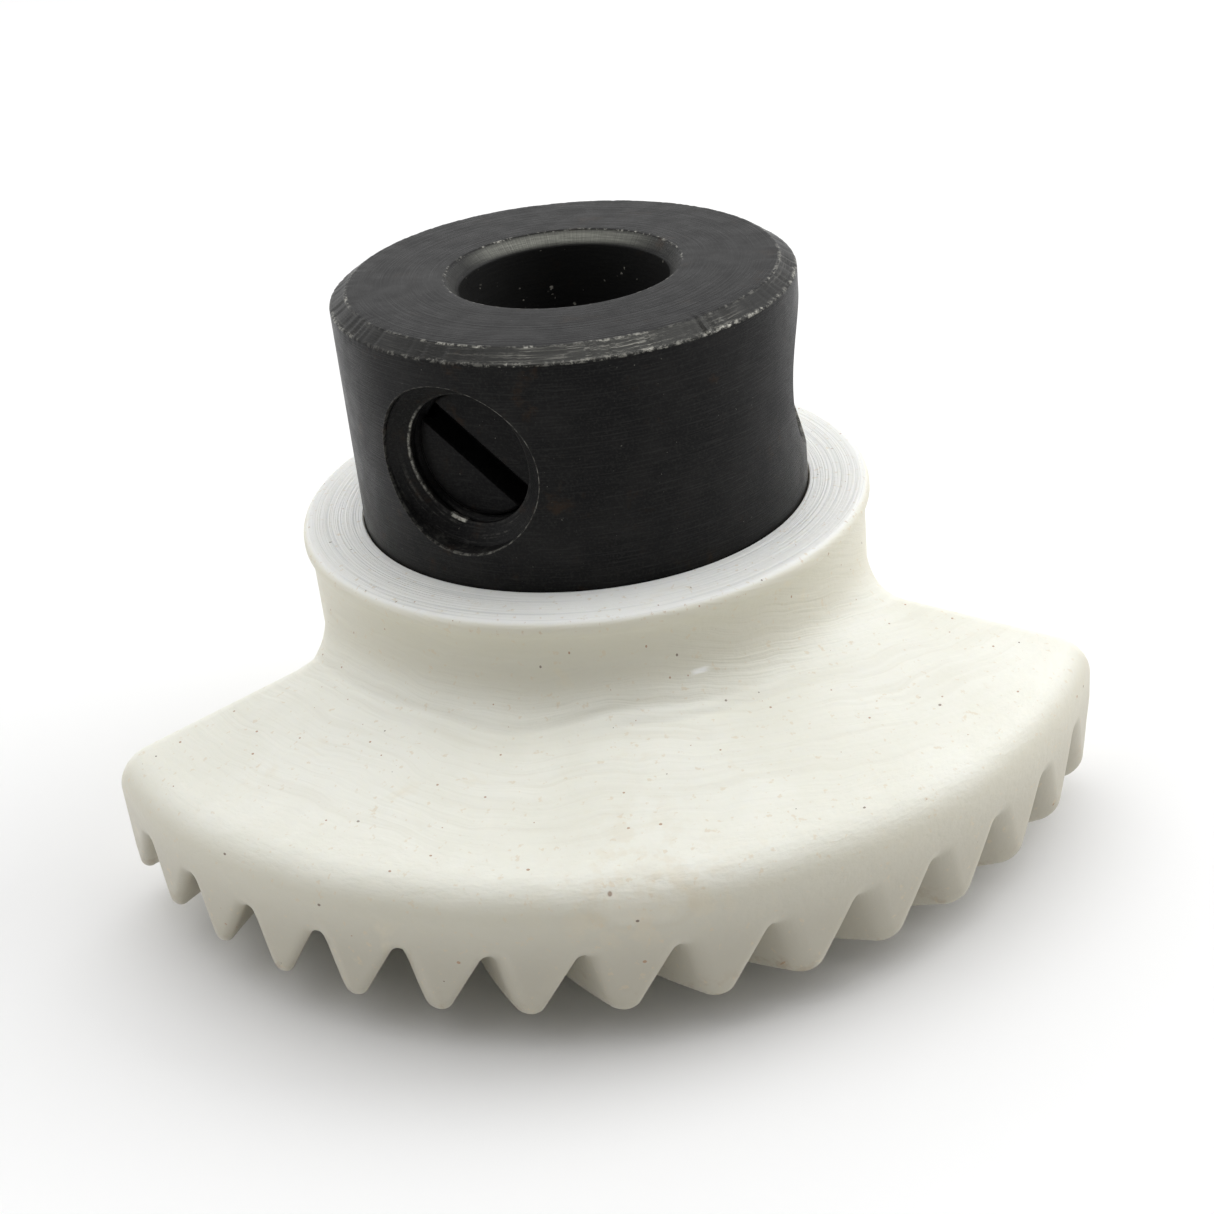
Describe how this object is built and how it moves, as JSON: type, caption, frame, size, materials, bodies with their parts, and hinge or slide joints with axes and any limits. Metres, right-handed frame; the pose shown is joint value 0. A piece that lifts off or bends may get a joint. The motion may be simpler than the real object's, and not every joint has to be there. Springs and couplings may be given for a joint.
{
  "type": "bevel sector gear",
  "caption": "Toothed bevel sector in moulded nylon on a blackened steel hub, clamped to its shaft by slotted set screws in the hub wall.",
  "frame": {"origin": "on the gear axis in the plane of the hub's lower end, which is also the plane the inner tooth tips reach", "axes": "+Z along the gear axis from the toothed side to the free end of the hub; the middle of the sector faces -Y, and +X runs across the sector"},
  "size_m": [0.0296, 0.0248, 0.0165],
  "materials": {
    "nylon": "natural white nylon, satin, slightly translucent, with fine flow lines",
    "black_steel": "black oxide over fine turning marks, bright where the edges are worn",
    "screw_steel": "black oxide, satin, oily"
  },
  "bodies": {
    "gear": {"gear_segment": "nylon", "steel_hub": "black_steel"},
    "front_screw": {"set_screw_front": "screw_steel"},
    "side_screw": {"set_screw_side": "screw_steel"}
  },
  "joints": [
    {"name": "front_screw_travel", "type": "slide", "parent": "gear", "child": "front_screw", "axis": [-0.5446, -0.8387, 0], "range_m": [-0.0005, 0.0038]},
    {"name": "side_screw_travel", "type": "slide", "parent": "gear", "child": "side_screw", "axis": [0.9986, -0.0523, 0], "range_m": [-0.0005, 0.0038]}
  ]
}
